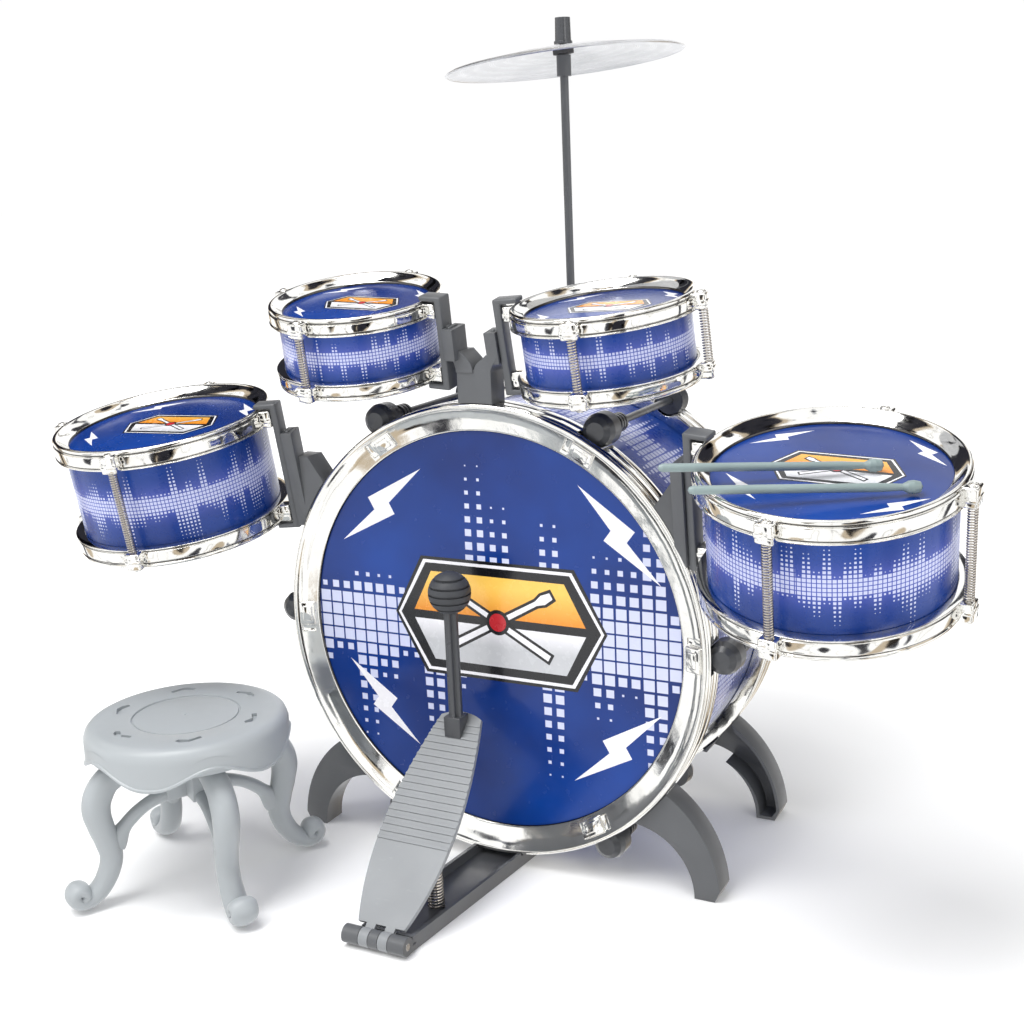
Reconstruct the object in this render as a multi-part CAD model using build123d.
from build123d import *
from math import atan2, cos, degrees, radians, sin, tan
import os

# A child's acoustic drum kit: a bass drum on four legs that carries two small toms, two
# large toms and a cymbal, with a kick pedal, two drumsticks and a stool beside it.
# Millimetres. The origin is on the floor below the middle of the bass drum, +X is to the
# right, -Y is the player's side (batter head and pedal) and +Z is up.

# Bass drum
bass_shell_radius = 149.0
bass_depth = 144.8          # batter head to rear head
bass_shell_wall = 2.5
bass_head_overlap = 8.5     # hoop's lip over the edge of the head
bass_hoop_wall = 11.0       # shell to the hoop's outside
bass_floor_gap = 7.0        # floor to the hoops
bass_hoop_rim = 7.6         # rim in front of the head
bass_hoop_skirt = 14.4      # skirt behind the head
hoop_edge = 0.8             # broken edges of every hoop
hoop_lip = 1.8              # thickness of a hoop's inner lip
hoop_land = 3.0             # flat top of a hoop's rim
hoop_groove = 1.0           # groove round the outside of a hoop
hoop_fit = 0.4              # gap between a hoop's skirt and its shell
head_thickness = 0.8
bass_hoop_radius = bass_shell_radius + bass_hoop_wall
bass_opening_radius = bass_shell_radius - bass_head_overlap
bass_axis_height = bass_hoop_radius + bass_floor_gap
bass_top = bass_axis_height + bass_hoop_radius
half_depth = bass_depth / 2

# Tension bolts of the bass drum
bolt_angles = (0, 60, 120, 180, 240, 300)
bolt_out = 5.6              # bolts' circle outside the hoop
bolt_circle_radius = bass_hoop_radius + bolt_out
bolt_knob_radius = 11.2
bolt_knob_length = 22.0
bolt_knob_dome = 8.0
bolt_neck_radius = 5.5
bolt_neck_length = 18.0
bolt_rib_radius = 6.6
bolt_rib_width = 2.2
bolt_rib_gap = 1.6
bolt_rib_count = 3
bolt_rod_radius = 2.6
bolt_rod_fit = 0.06         # rod in its rear cap
bolt_pocket_fit = 0.7       # knob in the hoop's pocket
bolt_front_wall = 5.5       # hoop's rim left in front of the pocket
tab_width = 17.0
tab_length = 12.5
tab_height = 2.6
slot_width = 4.5
slot_depth = 1.6

# Drum legs
leg_inner_angle = 49.0      # below the horizontal, on the hoop
leg_outer_angle = 37.0
leg_foot_inset = 6.0        # middle of the sole inside the hoop's widest point
leg_foot_width = 14.0
leg_heel = (3.5, 7.5)       # heel's corner outside and above the sole
leg_shoulder = 6.0          # outer edge's top outside the hoop
leg_bulge = 8.0             # outer edge's middle beyond a line from heel to shoulder
leg_arch = (16.0, 26.0)     # highest stretch of the inner edge, in from the sole and above the floor
leg_width_y = 20.0
leg_wall = 2.4
leg_set_back = 4.0          # leg's face behind the hoop's rim

# Toms
tom_shell_wall = 2.0
big_shell_radius = 71.5
big_hoop_wall = 6.5
big_head_overlap = 4.2
big_rim = 8.0
big_skirt = 6.0
big_depth = 70.0
big_tongue = 26.0
small_shell_radius = 54.0
small_hoop_wall = 5.5
small_head_overlap = 3.9
small_rim = 7.0
small_skirt = 5.0
small_depth = 42.0
small_tongue = 18.0
big_tom_out = 5.0           # a large tom's hoop from the side of the bass drum's hoop
small_tom_out = 30.0        # a small tom's hoop from the middle of the kit
big_tom = dict(
    shell=big_shell_radius, hoop=big_shell_radius + big_hoop_wall,
    opening=big_shell_radius - big_head_overlap,
    rim=big_rim, skirt=big_skirt, depth=big_depth, tongue=big_tongue)
small_tom = dict(
    shell=small_shell_radius, hoop=small_shell_radius + small_hoop_wall,
    opening=small_shell_radius - small_head_overlap,
    rim=small_rim, skirt=small_skirt, depth=small_depth, tongue=small_tongue)
big_x = big_tom["hoop"] + bass_hoop_radius + big_tom_out
small_x = small_tom["hoop"] + small_tom_out
# name: size, centre of the head, lean to the right, lean to the player, direction of the arm
toms = {
    "tom_big_left": (big_tom, (-big_x, -half_depth - 32.6, bass_top - 21.0), -1.7, 9.4, 14.0),
    "tom_big_right": (big_tom, (big_x, -half_depth - 34.6, bass_top - 26.0), 2.6, 13.2, 171.0),
    "tom_small_left": (small_tom, (-small_x, -half_depth - 3.6, bass_top + 64.0), 2.2, 10.8, -5.0),
    "tom_small_right": (small_tom, (small_x, -half_depth + 3.4, bass_top + 62.0), -2.8, 7.9, 185.0),
}
ear_reach = 8.0             # ear beyond the hoop's outside
ear_width = 12.0
ear_corner = 3.0
tom_spring_radius = 3.7
tom_spring_bore = 2.5
tom_spring_inset = 4.2      # spring's axis inside the ear's outer face

# Tom brackets and the arms' sockets
bracket_gap = 0.3           # ear to bracket, and bracket to socket
bracket_width = 12.0
bracket_thickness = 5.0
bracket_hook = 3.4          # thickness of the hooks over and under the hoops
bracket_hook_reach = 17.0
tongue_neck_width = 4.0
tongue_neck = 2.2
tongue_head_width = 9.0
tongue_head = 2.6
tongue_fit = 0.4
tongue_drop = 9.0           # top of the tongue below the head
socket_wall = 3.2
socket_floor = 4.0
post_drop = 40.0            # post below a large tom's socket

# Arms
upper_block_width = 25.2
upper_block_height = 22.0
arm_near = 6.8              # arms' faces in front of the batter head
arm_far = -11.4
upper_arm_width = 9.0
lower_arm_top_angle = 38.0  # above the horizontal, on the hoop
lower_arm_bottom_angle = 27.0
lower_arm_inset = 10.0      # outer edge inside the hoop's widest point
lower_arm_width = 12.0
lower_arm_drop = 43.0       # gusset's top below the bass drum's top
lower_arm_height = 38.0

# Cymbal
rod_radius = 3.0
rod_socket_height = 20.0
rod_socket_radius = 9.0
rod_offset = 1.6            # rod's axis behind the rear head
rod_length = 248.0
rod_above_collar = 21.7
rod_collar_radius = 5.2
rod_collar_length = 14.5
cymbal_lean = 5.0           # to the left
rock_gap = 0.8              # play below the rocking cymbal
nut_gap = 1.1               # play above it
washer_radius = 7.5
washer_thickness = 4.0
washer_bore_fit = 0.9
cymbal_radius = 86.0
cymbal_rise = 11.0
cymbal_thickness = 1.5
cymbal_seat_radius = 9.0
cymbal_bell_radius = 26.0
cymbal_bell_rise = 3.0
cymbal_bead = 1.6
nut_radius = 5.8
nut_top_radius = 5.4
nut_length = 18.0
nut_flange_radius = 6.6
nut_flange = 2.0
nut_fit = 0.06

# Pedal
pedal_x = -13.0
hinge_reach = 112.2         # hinge in front of the beater
hinge_z = 7.0
hinge_radius = 6.0
hinge_pin_radius = 2.4
hinge_pin_fit = 0.08
hinge_half_length = 23.0
knuckle_gap = 0.4
knuckle_edges = (11.0, 3.4)  # outer and inner ends of the footplate's knuckles
pedal_angle = 41.0
plate_length = 163.0
plate_thickness = 3.0
plate_hinge_width = 34.0
plate_width = 54.0
plate_tip_width = 31.0
plate_clear = 9.0           # plate starts this far from the pin
plate_rib_count = 18
plate_rib_pitch = 5.2
plate_rib_width = 1.6
plate_rib_height = 0.7
base_width = 38.0
base_height = 10.0
base_floor = 3.0
base_wall = 2.5
base_skew = 15.0            # rear end further to the right
base_under = 28.4           # base's rear end behind the batter head
base_clearance = 0.4        # below the bass drum's hoop
beater_gap = 15.9           # ball to the batter head
beater_width = 9.5
beater_web = 3.2
beater_foot_height = 9.0
ball_radius = 14.5
ball_rise = 36.0            # ball's middle above the bass drum's axis
ball_groove_count = 5
ball_groove = 1.3
ball_groove_pitch = 5.0
spring_x = -3.0
spring_reach = 57.0         # spring behind the hinge
spring_radius = 5.2
spring_bore = 3.6
spring_top_gap = 1.5
beater_y = -half_depth - beater_gap - ball_radius
hinge_y = beater_y - hinge_reach
spring_y = hinge_y + spring_reach
base_rear_y = -half_depth + base_under
ball_height = bass_axis_height + ball_rise

# Drumsticks, lying on the rim of the right large tom, in that tom's own directions
stick_radius = 2.5
stick_length = 126.0
stick_tip_radius = 3.8
stick_tip_length = 11.0
stick_rest_gap = 0.35
# tip's place on the head and the stick's direction, both in the tom's plane
stick_places = {"drumstick_1": ((-28.0, -10.0), 32.0), "drumstick_2": ((-57.0, 8.0), 32.0)}

# Stool
stool_x = -181.0
stool_y = -181.0
stool_turn = 58.0
seat_radius = 69.0
seat_height = 122.0
seat_core = 20.0            # solid part of the seat
seat_skirt = 28.0
seat_wall = 2.8
seat_edge = 9.0
seat_ring_in = 29.0         # ring groove inside the seat's edge
seat_ring_width = 1.4
seat_ring_depth = 1.0
seat_slot_count = 6
seat_slot_length = 13.0
seat_slot_width = 3.6
seat_slot_in = 15.0         # slots' circle inside the seat's edge
skirt_lobe_count = 5
skirt_lobe_turn = 35.0
skirt_lobe_radius = 48.0
skirt_lobe_cut = 10.0
stool_foot_out = 25.0       # scroll feet's outside beyond the seat
stool_scroll_radius = 10.0
stool_leg_width = 13.0
stool_leg_thickness = 14.0
stool_knee_in = 1.0         # middle of the knee inside the seat's edge
stool_knee_drop = 16.0      # knee below the skirt
stool_ankle_in = 8.0
stool_ankle_drop = 52.0
stool_hub_drop = 37.0       # hub's height
stool_brace = 7.0
stool_lap_gap = 0.1
stool_foot_radius = seat_radius + stool_foot_out
stool_knee_radius = seat_radius - stool_knee_in
stool_ankle_radius = seat_radius - stool_ankle_in
stool_knee_z = seat_height - seat_skirt - stool_knee_drop
stool_ankle_z = seat_height - seat_skirt - stool_ankle_drop
stool_hub_bottom = seat_height - seat_core - stool_hub_drop
stool_hub_half = seat_radius * 0.3

os.makedirs("parts", exist_ok=True)
bass_front = Plane(origin=(0, 0, bass_axis_height), x_dir=(1, 0, 0), z_dir=(0, -1, 0))
bass_rear = Plane(origin=(0, 0, bass_axis_height), x_dir=(-1, 0, 0), z_dir=(0, 1, 0))
nodes = {}


def block(x0, x1, y0, y1, z0, z1):
    """A box between two opposite corners."""
    return Pos((x0 + x1) / 2, (y0 + y1) / 2, (z0 + z1) / 2) * Box(x1 - x0, y1 - y0, z1 - z0)


def rod(radius, z0, z1):
    """A cylinder about +Z."""
    return Pos(0, 0, z0) * Cylinder(radius, z1 - z0, align=(Align.CENTER, Align.CENTER, Align.MIN))


def tube(outer, inner, z0, z1):
    """A pipe about +Z."""
    return rod(outer, z0, z1) - rod(inner, z0 - 1, z1 + 1)


def turned(points):
    """A solid of revolution about +Z from (radius, height) points."""
    return revolve(make_face(Plane.XZ * Polyline(*points, close=True)), Axis.Z)


def upright(edges, y0, y1):
    """A plate between two planes of constant Y, from an outline in X and Z."""
    face = make_face(Plane.XZ * edges)
    return Pos(0, y0, 0) * extrude(face, y1 - y0, dir=(0, 1, 0))


def on_circle(radius, angle):
    """A place on a circle about the origin."""
    return Pos(radius * cos(radians(angle)), radius * sin(radians(angle)), 0)


def on_hoop(radius, angle):
    """X and Z of a point at a radius and an angle about the bass drum's axis."""
    return (radius * cos(radians(angle)), bass_axis_height + radius * sin(radians(angle)))


def hoop(outer, opening, shell, rim, skirt):
    """A drum hoop about +Z: its lip rests on the head plane z = 0 and its skirt hangs round the shell."""
    ridge = (rim - skirt) / 2
    return turned([
        (opening, 0), (opening, hoop_lip), (outer - hoop_land, rim), (outer - hoop_edge, rim),
        (outer, rim - hoop_edge), (outer, ridge + hoop_groove), (outer - hoop_groove, ridge),
        (outer, ridge - hoop_groove), (outer, hoop_edge - skirt), (outer - hoop_edge, -skirt),
        (shell + hoop_fit, -skirt), (shell + hoop_fit, 0),
    ])


def bass_hoop():
    """A bass hoop with a pocket behind its rim for each knob and a clip tab on its face."""
    body = hoop(bass_hoop_radius, bass_opening_radius, bass_shell_radius, bass_hoop_rim, bass_hoop_skirt)
    slope = degrees(atan2(bass_hoop_rim - hoop_lip, bass_hoop_radius - hoop_land - bass_opening_radius))
    middle = (bass_opening_radius + bass_hoop_radius - hoop_land) / 2
    height = (bass_hoop_rim + hoop_lip) / 2
    pocket_top = bass_hoop_rim - bolt_front_wall
    for angle in bolt_angles:
        place = Rot(0, 0, angle)
        pocket = Pos(bolt_circle_radius, 0, 0) * rod(
            bolt_knob_radius + bolt_pocket_fit, -bass_hoop_skirt - 1, pocket_top)
        face = place * Pos(middle, 0, height) * Rot(0, -slope, 0)
        tab = face * Box(tab_length, tab_width, tab_height)
        slot = face * Pos(0, (tab_width + slot_width) / 2, 0) * Box(tab_length, slot_width, 2 * slot_depth)
        body = body - place * pocket + tab - slot
    return body


def tension_bolt(length):
    """A knob, neck, ribs and long rod about +Z, with the knob's dome at the top, z = 0."""
    neck_top = -bolt_knob_length
    knob = turned([
        (0, 0), (bolt_knob_radius * 0.55, -0.6), (bolt_knob_radius * 0.86, -bolt_knob_dome * 0.4),
        (bolt_knob_radius, -bolt_knob_dome), (bolt_knob_radius, neck_top + 4),
        (bolt_knob_radius * 0.7, neck_top),
        (0, neck_top),
    ])
    bolt = knob + rod(bolt_neck_radius, neck_top - bolt_neck_length, neck_top)
    for index in range(bolt_rib_count):
        top = neck_top - bolt_neck_length + (bolt_rib_width + bolt_rib_gap) * index + bolt_rib_width
        bolt += rod(bolt_rib_radius, top - bolt_rib_width, top)
    return bolt + rod(bolt_rod_radius, -length, neck_top)


def rear_cap():
    """The domed nut that takes a tension rod at the rear hoop, mouth downwards, dome at z = 0."""
    cap = turned([
        (0, 0), (bolt_knob_radius * 0.55, -0.6), (bolt_knob_radius * 0.86, -bolt_knob_dome * 0.4),
        (bolt_knob_radius, -bolt_knob_dome), (bolt_knob_radius * 0.9, -bolt_knob_length * 0.75),
        (0, -bolt_knob_length * 0.75),
    ])
    return cap - rod(bolt_rod_radius + bolt_rod_fit, -bolt_knob_length, -bolt_knob_dome)


def hoop_cylinder():
    """The cylinder that the bass hoops' outsides lie on."""
    return Pos(0, 0, bass_axis_height) * Rot(90, 0, 0) * rod(bass_hoop_radius, -bass_depth, bass_depth)


def drum_leg(side, front):
    """An arched channel from the hoop to the floor; side is -1 or 1, front is 1 for the player's side."""
    inner_top = on_hoop(bass_hoop_radius, -leg_inner_angle)
    outer_top = on_hoop(bass_hoop_radius, -leg_outer_angle)
    shoulder = on_hoop(bass_hoop_radius + leg_shoulder, -leg_outer_angle)
    middle_top = on_hoop(bass_hoop_radius, -(leg_inner_angle + leg_outer_angle) / 2)
    sole_in = bass_hoop_radius - leg_foot_inset - leg_foot_width / 2
    sole_out = sole_in + leg_foot_width
    heel = (sole_out + leg_heel[0], leg_heel[1])
    bulge = ((heel[0] + shoulder[0]) / 2 + leg_bulge, (heel[1] + shoulder[1]) / 2)
    arch = (sole_in - leg_arch[0] / 2, leg_arch[1])

    def outline(inset):
        edges = Line((sole_in + inset, inset), (sole_out - inset, inset))
        edges += Line((sole_out - inset, inset), (heel[0] - inset, heel[1]))
        top_out = (shoulder[0] - inset, shoulder[1] - inset)
        top_in = (inner_top[0] + inset, inner_top[1] - inset)
        edges += ThreePointArc((heel[0] - inset, heel[1]), (bulge[0] - inset, bulge[1]), top_out)
        edges += Line(top_out, outer_top)
        edges += ThreePointArc(outer_top, middle_top, top_in)
        edges += ThreePointArc(top_in, (arch[0] + inset, arch[1]), (sole_in + inset, inset))
        return edges

    face_y = -(half_depth + bass_hoop_rim - leg_set_back)
    leg = upright(outline(0), face_y, face_y + leg_width_y)
    leg -= upright(outline(leg_wall), face_y + leg_wall, face_y + leg_width_y + 1)
    leg -= hoop_cylinder()
    if side < 0:
        leg = mirror(leg, Plane.YZ)
    if not front:
        leg = mirror(leg, Plane.XZ)
    return leg


def tom_plane(centre, lean_right, lean_player, arm_angle):
    """The plane of a tom's head: +Z out of the head, +X towards its arm."""
    up = Vector(sin(radians(lean_right)), -sin(radians(lean_player)), 1)
    up = Vector(up.X, up.Y, (1 - up.X ** 2 - up.Y ** 2) ** 0.5)
    level = Vector(cos(radians(arm_angle)), sin(radians(arm_angle)), 0)
    return Plane(origin=centre, x_dir=level - up * level.dot(up), z_dir=up)


def ears(size, z0, z1):
    """The four lug ears of a tom's hoop."""
    outer = size["hoop"] + ear_reach
    inner = size["shell"] + 2
    ear = block(inner, outer, -ear_width / 2, ear_width / 2, z0, z1)
    corners = ear.edges().filter_by(Axis.Z).group_by(Axis.X)[-1]
    ear = fillet(corners, ear_corner)
    return [Rot(0, 0, 90 * index) * ear for index in range(4)]


def tom_parts(size):
    """The pieces of one tom in its own plane, with the bracket on +X."""
    depth, rim, skirt, shell = size["depth"], size["rim"], size["skirt"], size["shell"]
    top_hoop = hoop(size["hoop"], size["opening"], shell, rim, skirt)
    bottom_hoop = Pos(0, 0, -depth) * Rot(180, 0, 0) * top_hoop
    for ear in ears(size, -skirt, rim - 1.2):
        top_hoop += ear
    for ear in ears(size, -depth - rim + 1.2, -depth + skirt):
        bottom_hoop += ear
    around = rod(shell + hoop_fit, -depth, 0)
    spring = tube(tom_spring_radius, tom_spring_bore, -depth + skirt, -skirt)
    spring_circle = size["hoop"] + ear_reach - tom_spring_inset
    springs = [Rot(0, 0, 90 * index) * Pos(spring_circle, 0, 0) * spring for index in (1, 2, 3)]
    return {
        "shell": tube(shell, shell - tom_shell_wall, -depth, -head_thickness),
        "head": rod(shell, -head_thickness, 0),
        "top_hoop": top_hoop - around,
        "bottom_hoop": bottom_hoop - around,
        "springs": Compound(children=springs),
        "bracket": bracket(size),
    }


def tongue(size, grow, z0, z1):
    """A T-shaped rail on the bracket's outer face, grown by a clearance for the socket's slot."""
    face = size["hoop"] + ear_reach + bracket_gap + bracket_thickness
    neck_half = tongue_neck_width / 2 + grow
    head_half = tongue_head_width / 2 + grow
    head_face = face + tongue_neck
    neck = block(face, head_face + 0.1, -neck_half, neck_half, z0, z1)
    head = block(head_face - grow, head_face + tongue_head + grow, -head_half, head_half, z0, z1)
    return neck + head


def bracket(size):
    """The bar hooked over and under a tom's hoops, with the tongue that drops into the arm's socket."""
    inner = size["hoop"] + ear_reach + bracket_gap
    outer = inner + bracket_thickness
    half = bracket_width / 2
    top = size["rim"] + bracket_gap
    bottom = -size["depth"] - size["rim"] - bracket_gap
    bar = block(inner, outer, -half, half, bottom - bracket_hook, top + bracket_hook)
    bar += block(outer - bracket_hook_reach, outer, -half, half, top, top + bracket_hook)
    bar += block(outer - bracket_hook_reach, outer, -half, half, bottom - bracket_hook, bottom)
    return bar + tongue(size, 0, -tongue_drop - size["tongue"], -tongue_drop)


def socket_face(size):
    """Distance from a tom's axis to its arm's inner face."""
    return size["hoop"] + ear_reach + bracket_thickness + 2 * bracket_gap


def socket(size, post):
    """The socket's block, with a post of the given length below it."""
    face = socket_face(size)
    back = face + tongue_neck + tongue_head + socket_wall
    half = tongue_head_width / 2 + tongue_fit + socket_wall
    low = -tongue_drop - size["tongue"] - socket_floor
    return block(face, back, -half, half, low - post, -tongue_drop - 1)


def tom_room(size):
    """What an arm leaves free for its tom: the space inside the socket's face, and the tongue's slot."""
    reach = size["depth"] + 2 * size["rim"] + bracket_hook
    room = block(0, socket_face(size), -size["hoop"], size["hoop"], -reach, reach)
    return room + tongue(size, tongue_fit, -tongue_drop - size["tongue"] - tongue_fit, reach)


def upper_arm():
    """The V-shaped arm on top of the front hoop, with a socket for each small tom."""
    half = upper_block_width / 2
    root = bass_top - 6
    notch = bass_top + upper_block_height
    near, far = -half_depth - arm_near, -half_depth - arm_far
    arm = upright(Polyline((-half, root), (half, root), (half, notch), (-half, notch), close=True), near, far)
    for name, side in (("tom_small_left", -1), ("tom_small_right", 1)):
        size, *place = toms[name]
        plane = tom_plane(*place)
        low = -tongue_drop - size["tongue"] - socket_floor
        foot = plane.from_local_coords(Vector(socket_face(size) + upper_arm_width / 2, 0, low))
        inner = (side * 0.2, notch - 2)
        tip_in = (foot.X - side * upper_arm_width / 2, foot.Z + 5)
        tip_out = (foot.X + side * upper_arm_width / 2, foot.Z + 5)
        edges = Spline(inner, tip_in, tangents=[(0, 1), (side * 0.8, 1)])
        edges += Line(tip_in, tip_out)
        edges += Spline(tip_out, (side * half, notch - 2), tangents=[(-side * 0.3, -1), (0, -1)])
        edges += Line((side * half, notch - 2), inner)
        arm += upright(edges, min(near, foot.Y - 4), far)
        arm += plane * socket(size, 0)
        arm -= plane * tom_room(size)
    return arm - hoop_cylinder()


def lower_arm(name, side):
    """The gusseted arm on the side of the front hoop that carries a large tom."""
    size, *place = toms[name]
    plane = tom_plane(*place)
    foot = plane.from_local_coords(Vector(socket_face(size), 0, -tongue_drop - size["tongue"] - post_drop))
    upper = on_hoop(bass_hoop_radius - 4, lower_arm_top_angle)
    lower = on_hoop(bass_hoop_radius - 4, lower_arm_bottom_angle)
    reach = bass_hoop_radius - lower_arm_inset
    top = bass_top - lower_arm_drop
    arm = upright(Polyline(
        (side * upper[0], upper[1]), (side * (reach - lower_arm_width), top), (side * reach, top),
        (side * reach, top - lower_arm_height), (side * lower[0], lower[1]), close=True),
        min(-half_depth - arm_near, foot.Y - 4), -half_depth - arm_far)
    arm += plane * socket(size, post_drop)
    arm -= plane * tom_room(size)
    return arm - hoop_cylinder()


def cymbal_plate(seat_z):
    """A thin dished plate with a bell in the middle and a rolled rim; seat_z is its underside."""
    outer, bell, rise = cymbal_radius, cymbal_bell_radius, cymbal_rise
    edge = seat_z - rise
    bore = rod_radius + washer_bore_fit + 0.3
    under = [
        (bore, seat_z), (cymbal_seat_radius, seat_z), (bell, seat_z - cymbal_bell_rise),
        (outer * 0.62, seat_z - cymbal_bell_rise - rise * 0.22), (outer - 3, edge + 1),
    ]
    over = [(radius, height + cymbal_thickness) for radius, height in reversed(under)]
    rim = [(outer - 1, edge), (outer, edge + cymbal_bead / 2), (outer - 1, edge + cymbal_bead)]
    return turned(under + rim + over)


def leaf():
    """The footplate's outline in its own plane, from the hinge along +Y."""
    start, end = plate_clear, plate_length
    hinge_half, half, tip_half = plate_hinge_width / 2, plate_width / 2, plate_tip_width / 2
    right = Spline((hinge_half, start), (half, plate_length * 0.42), (half * 0.88, plate_length * 0.72),
                   (tip_half, end - 4))
    left = Spline((-tip_half, end - 4), (-half * 0.88, plate_length * 0.72), (-half, plate_length * 0.42),
                  (-hinge_half, start))
    return make_face(right + ThreePointArc((tip_half, end - 4), (0, end), (-tip_half, end - 4)) + left
                     + Line((-hinge_half, start), (hinge_half, start)))


def footplate():
    """The leaf-shaped plate with ribs across its upper half and two knuckles round the hinge pin."""
    outline = leaf()
    plate = Pos(0, 0, -plate_thickness / 2) * extrude(outline, plate_thickness, dir=(0, 0, 1))
    first_rib = plate_length - 10 - plate_rib_pitch * (plate_rib_count - 1)
    starts = [first_rib + plate_rib_pitch * index for index in range(plate_rib_count)]
    ribs = [block(-plate_width, plate_width, start, start + plate_rib_width, 0, 10) for start in starts]
    raised = Pos(0, 0, plate_thickness / 2 - 0.2) * extrude(outline, plate_rib_height + 0.2, dir=(0, 0, 1))
    for rib in ribs:
        plate += raised & rib
    outer, inner = knuckle_edges
    for side in (-1, 1):
        low, high = sorted((side * outer, side * inner))
        knuckle = Rot(0, 90, 0) * rod(hinge_radius, low + knuckle_gap, high - knuckle_gap)
        plate += knuckle + block(low + knuckle_gap, high - knuckle_gap, 0, plate_clear + 2,
                                 -plate_thickness / 2, plate_thickness / 2)
    plate -= Rot(0, 90, 0) * rod(hinge_pin_radius + hinge_pin_fit, -hinge_half_length, hinge_half_length)
    return Pos(pedal_x, hinge_y, hinge_z) * Rot(pedal_angle, 0, 0) * plate


def pedal_base():
    """The channel on the floor from the hinge to below the bass drum."""
    front_y = hinge_y + hinge_radius + 1.5
    half = base_width / 2
    shift = base_skew

    def plan(inset):
        return make_face(Polyline(
            (pedal_x + 3 - half + inset, front_y + inset), (pedal_x + 3 + half - inset, front_y + inset),
            (pedal_x + 3 + half - inset + shift, base_rear_y - inset),
            (pedal_x + 3 - half + inset + shift, base_rear_y - inset), close=True))

    base = extrude(plan(0), base_height, dir=(0, 0, 1))
    base -= Pos(0, 0, base_floor) * extrude(plan(base_wall), base_height, dir=(0, 0, 1))
    outer, inner = knuckle_edges
    for low, high in ((-hinge_half_length, -outer), (-inner, inner), (outer, hinge_half_length)):
        knuckle = Pos(pedal_x, hinge_y, hinge_z) * Rot(0, 90, 0) * rod(hinge_radius, low, high)
        base += knuckle + block(
            pedal_x + low, pedal_x + high, hinge_y, front_y + base_wall, 1, base_floor + 2)
    base -= Pos(pedal_x, hinge_y, hinge_z) * Rot(0, 90, 0) * rod(
        hinge_pin_radius, -hinge_half_length - 1, hinge_half_length + 1)
    under = Pos(0, 0, bass_axis_height) * Rot(90, 0, 0) * rod(
        bass_hoop_radius + base_clearance, 0, half_depth + bass_hoop_rim + base_clearance)
    return base - under


def beater_shaft():
    """The cross-shaped shaft from the footplate's end up to the ball, with a foot on the plate."""
    foot_z = plate_top(beater_y)
    top = ball_height - ball_radius * 0.6
    half, web = beater_width / 2, beater_web / 2
    shaft = block(-half, half, -web, web, 0, top - foot_z) + block(-web, web, -half, half, 0, top - foot_z)
    shaft += block(-half - 1.5, half + 1.5, -half - 1.5, half + 1.5, -8, beater_foot_height)
    shaft = Pos(pedal_x, beater_y, foot_z) * shaft
    over = Pos(pedal_x, hinge_y, hinge_z) * Rot(pedal_angle, 0, 0) * block(
        -plate_width, plate_width, 0, plate_length + 30, -30, plate_thickness / 2 + plate_rib_height)
    return shaft - over


def plate_top(y):
    """Height of the footplate's ribs at a place along Y."""
    rise = (y - hinge_y) * tan(radians(pedal_angle))
    return hinge_z + rise + (plate_thickness / 2 + plate_rib_height) / cos(radians(pedal_angle))


def beater_ball():
    """The ribbed rubber ball at the top of the shaft."""
    ball = Sphere(ball_radius)
    for index in range(ball_groove_count):
        level = (index - (ball_groove_count - 1) / 2) * ball_groove_pitch
        radius = (ball_radius ** 2 - level ** 2) ** 0.5
        ball -= tube(ball_radius + 5, radius - ball_groove, level - ball_groove / 2, level + ball_groove / 2)
    return Pos(pedal_x, beater_y, ball_height) * ball


def rim_distance(size, start, turn):
    """Distance from a place on the head, in a direction, to where a straight stick meets the rim."""
    along = start[0] * cos(radians(turn)) + start[1] * sin(radians(turn))
    aside = start[1] * cos(radians(turn)) - start[0] * sin(radians(turn))
    return ((size["hoop"] - hoop_land) ** 2 - aside ** 2) ** 0.5 - along


def drumstick():
    """A stick along +X with a flared tip at the origin and a rounded butt."""
    neck = stick_tip_length
    points = [
        (0, 0), (stick_tip_radius * 0.8, 1.5), (stick_tip_radius, 5), (stick_tip_radius * 0.9, 8),
        (stick_radius * 0.75, neck), (stick_radius, neck + 12), (stick_radius, stick_length - 3),
        (stick_radius * 0.7, stick_length - 0.8), (0, stick_length),
    ]
    return Rot(0, 90, 0) * turned(points)


def stool_seat():
    """The round seat with a rounded edge, a waved skirt, a ring groove and slots."""
    top, core = seat_height, seat_height - seat_core
    bottom = seat_height - seat_skirt
    seat = rod(seat_radius, bottom, top)
    seat = fillet(seat.edges().group_by(Axis.Z)[-1], seat_edge)
    seat -= rod(seat_radius - seat_wall, bottom - 1, core)
    for index in range(skirt_lobe_count):
        angle = skirt_lobe_turn + 360 * index / skirt_lobe_count
        cut = Rot(0, 0, angle) * Pos(0, 0, bottom - skirt_lobe_radius + skirt_lobe_cut) * Rot(0, 90, 0) * rod(
            skirt_lobe_radius, seat_radius * 0.3, seat_radius + 5)
        seat -= cut
    ring = seat_radius - seat_ring_in
    seat -= tube(ring, ring - seat_ring_width, top - seat_ring_depth, top + 1)
    for index in range(seat_slot_count):
        angle = 360 * (index + 0.5) / seat_slot_count
        seat -= on_circle(seat_radius - seat_slot_in, angle) * Rot(0, 0, angle) * Pos(0, 0, top) * Box(
            seat_slot_width, seat_slot_length, 6)
    return seat


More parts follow.
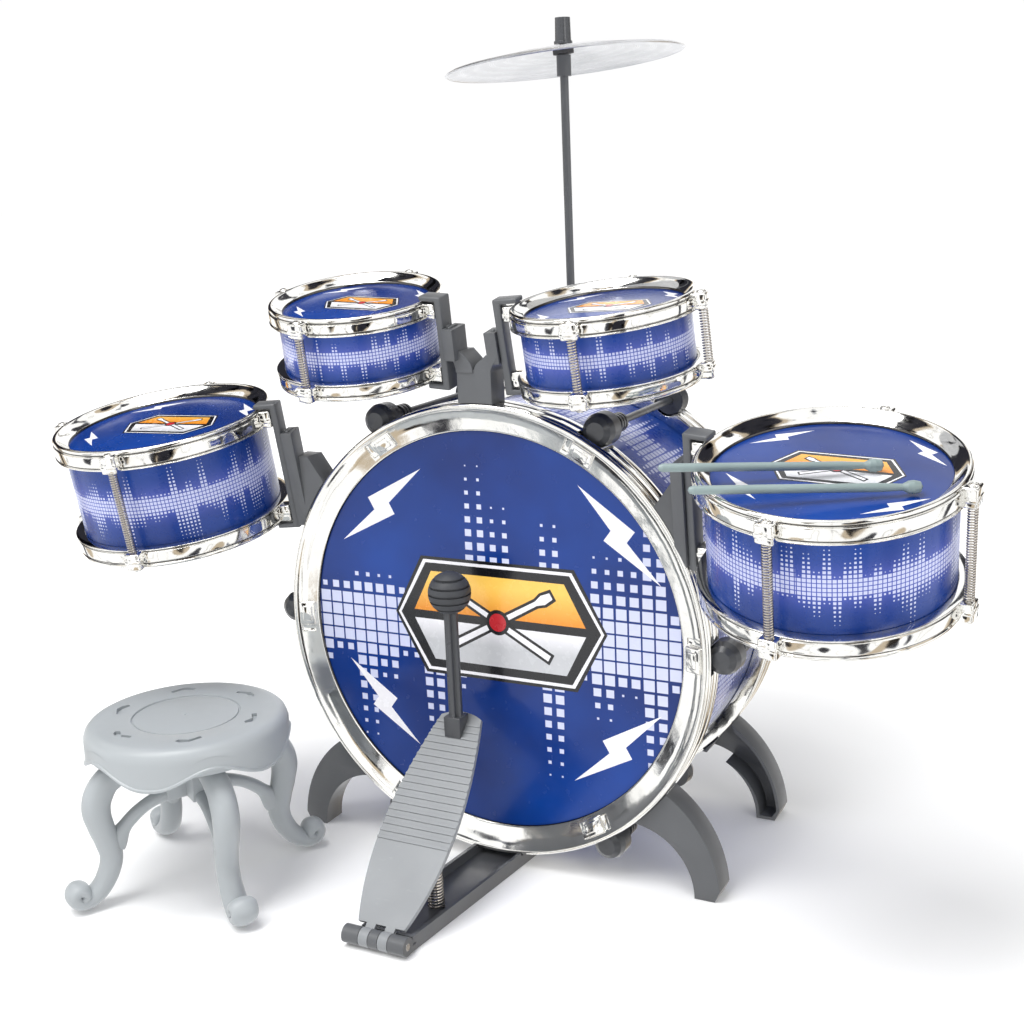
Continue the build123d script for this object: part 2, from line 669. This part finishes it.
def stool_frame(slot_from_below):
    """Two opposite legs joined by a hub and curved braces, in the XZ plane; half-lapped at the middle."""
    top = seat_height - seat_core
    half = stool_leg_width / 2
    spine = Spline(
        (stool_hub_half - 4, top - half - 1), (stool_knee_radius - 14, stool_knee_z + 8),
        (stool_knee_radius, stool_knee_z - 8), (stool_ankle_radius, stool_ankle_z),
        (stool_foot_radius - stool_scroll_radius, stool_scroll_radius * 0.75))
    samples = [spine.location_at(step / 14).position for step in range(15)]
    tangents = [spine.tangent_at(step / 14) for step in range(15)]
    left = [(p.X - t.Y * half, p.Y + t.X * half) for p, t in zip(samples, tangents)]
    right = [(p.X + t.Y * half * 0.9, p.Y - t.X * half * 0.9) for p, t in zip(samples, tangents)]
    outline = Spline(*left) + Line(left[-1], right[-1]) + Spline(*reversed(right)) + Line(right[0], left[0])
    thick = stool_leg_thickness / 2
    leg = upright(outline, -thick, thick)
    scroll = Pos(stool_foot_radius - stool_scroll_radius, 0, stool_scroll_radius) * Rot(90, 0, 0) * rod(
        stool_scroll_radius, -thick, thick)
    brace_low = (stool_ankle_radius - half + 2, stool_ankle_z + 2)
    brace = upright(
        ThreePointArc((0, stool_hub_bottom), (32, stool_hub_bottom - 2), brace_low)
        + Line(brace_low, (brace_low[0] + 2, brace_low[1] + stool_brace * 2))
        + ThreePointArc((brace_low[0] + 2, brace_low[1] + stool_brace * 2),
                        (32, stool_hub_bottom + stool_brace + 1), (0, stool_hub_bottom + stool_brace + 6))
        + Line((0, stool_hub_bottom + stool_brace + 6), (0, stool_hub_bottom)), -thick / 2, thick / 2)
    side = leg + scroll + brace
    hub = block(-stool_hub_half, stool_hub_half, -thick, thick, stool_hub_bottom, top)
    frame = side + mirror(side, Plane.YZ) + hub
    middle = (stool_hub_bottom + top) / 2
    lap = thick + stool_lap_gap
    low, high = (0, middle + stool_lap_gap) if slot_from_below else (middle - stool_lap_gap, top + 10)
    return frame - block(-lap, lap, -lap, lap, low, high)


# Bass drum
shell_end = half_depth - head_thickness
nodes["bass_shell"] = bass_front * tube(
    bass_shell_radius, bass_shell_radius - bass_shell_wall, -shell_end, shell_end)
for label, plane in (("front", bass_front), ("rear", bass_rear)):
    at_head = plane * Pos(0, 0, half_depth)
    nodes[f"bass_{label}_hoop"] = at_head * bass_hoop()
nodes["bass_batter_head"] = bass_front * rod(bass_shell_radius, half_depth - head_thickness, half_depth)
nodes["bass_rear_head"] = bass_rear * rod(bass_shell_radius, half_depth - head_thickness, half_depth)

knob_top = half_depth + bass_hoop_rim - bolt_front_wall - bolt_pocket_fit
cap_bore_end = 2 * knob_top - bolt_knob_dome - 1
for index, angle in enumerate(bolt_angles):
    nodes[f"tension_bolt_{index + 1}"] = bass_front * on_circle(bolt_circle_radius, angle) * Pos(
        0, 0, knob_top) * tension_bolt(cap_bore_end)
cap_places = [bass_rear * on_circle(bolt_circle_radius, angle) * Pos(0, 0, knob_top) for angle in bolt_angles]
nodes["rear_caps"] = Compound(children=[place * rear_cap() for place in cap_places])

for depth_name, front in (("front", True), ("rear", False)):
    for side_name, side in (("left", -1), ("right", 1)):
        nodes[f"leg_{depth_name}_{side_name}"] = drum_leg(side, front)

# Arms and toms
nodes["upper_arm"] = upper_arm()
nodes["lower_arm_left"] = lower_arm("tom_big_left", -1)
nodes["lower_arm_right"] = lower_arm("tom_big_right", 1)
for name, (size, *place) in toms.items():
    for piece, shape in tom_parts(size).items():
        nodes[f"{name}_{piece}"] = tom_plane(*place) * shape

# Cymbal
rod_y = half_depth + rod_offset
rod_top = bass_top + rod_length
collar_z = rod_top - rod_above_collar
washer_z = collar_z + rock_gap
seat_z = washer_z + washer_thickness
nut_z = seat_z + cymbal_thickness + nut_gap
stand = Pos(0, rod_y, 0)
rocking = stand * Pos(0, 0, washer_z) * Rot(0, -cymbal_lean, 0) * Pos(0, 0, -washer_z)
socket_block = rod(rod_socket_radius, bass_top - 8, bass_top + rod_socket_height)
nodes["cymbal_socket"] = stand * (socket_block - rod(rod_radius, bass_top, rod_top)) - hoop_cylinder()
nodes["cymbal_rod"] = stand * (rod(rod_radius, bass_top, rod_top) + rod(
    rod_collar_radius, collar_z - rod_collar_length, collar_z))
nodes["cymbal_washer"] = rocking * tube(washer_radius, rod_radius + washer_bore_fit, washer_z, seat_z)
nodes["cymbal_plate"] = rocking * cymbal_plate(seat_z)
nut_top = nut_z + nut_length
nut = turned([
    (0, nut_z), (nut_flange_radius, nut_z), (nut_flange_radius, nut_z + nut_flange),
    (nut_radius, nut_z + nut_flange), (nut_top_radius, nut_top), (0, nut_top),
])
nodes["cymbal_nut"] = stand * (nut - rod(rod_radius + nut_fit, 0, rod_top + 0.5))

# Pedal
nodes["pedal_base"] = pedal_base()
nodes["pedal_pin"] = Pos(pedal_x, hinge_y, hinge_z) * Rot(0, 90, 0) * rod(
    hinge_pin_radius, -hinge_half_length, hinge_half_length)
nodes["pedal_footplate"] = footplate()
nodes["beater_shaft"] = beater_shaft()
nodes["beater_ball"] = beater_ball() - nodes["beater_shaft"]
spring_top = hinge_z + (spring_y - spring_radius - hinge_y) * tan(radians(pedal_angle))
spring_top -= plate_thickness / 2 / cos(radians(pedal_angle)) + spring_top_gap
nodes["pedal_spring"] = Pos(spring_x, spring_y, 0) * tube(spring_radius, spring_bore, base_floor, spring_top)

# Drumsticks on the right large tom
right_size, *right_place = toms["tom_big_right"]
for name, (tip, turn) in stick_places.items():
    reach = rim_distance(right_size, tip, turn)
    rise = right_size["rim"] + stick_radius - stick_tip_radius
    slope = degrees(atan2(rise, reach - stick_tip_length / 2))
    lift = (stick_tip_radius + stick_rest_gap) / cos(radians(slope))
    lift += stick_tip_length / 2 * sin(radians(slope))
    lying = Pos(*tip, lift) * Rot(0, 0, turn) * Rot(0, -slope, 0)
    nodes[name] = tom_plane(*right_place) * lying * drumstick()

# Stool
stool = Pos(stool_x, stool_y, 0)
nodes["stool_seat"] = stool * stool_seat()
nodes["stool_frame_lower"] = stool * Rot(0, 0, stool_turn) * stool_frame(False)
nodes["stool_frame_upper"] = stool * Rot(0, 0, stool_turn + 90) * stool_frame(True)

for name, shape in nodes.items():
    export_step(shape, f"parts/{name}.step")
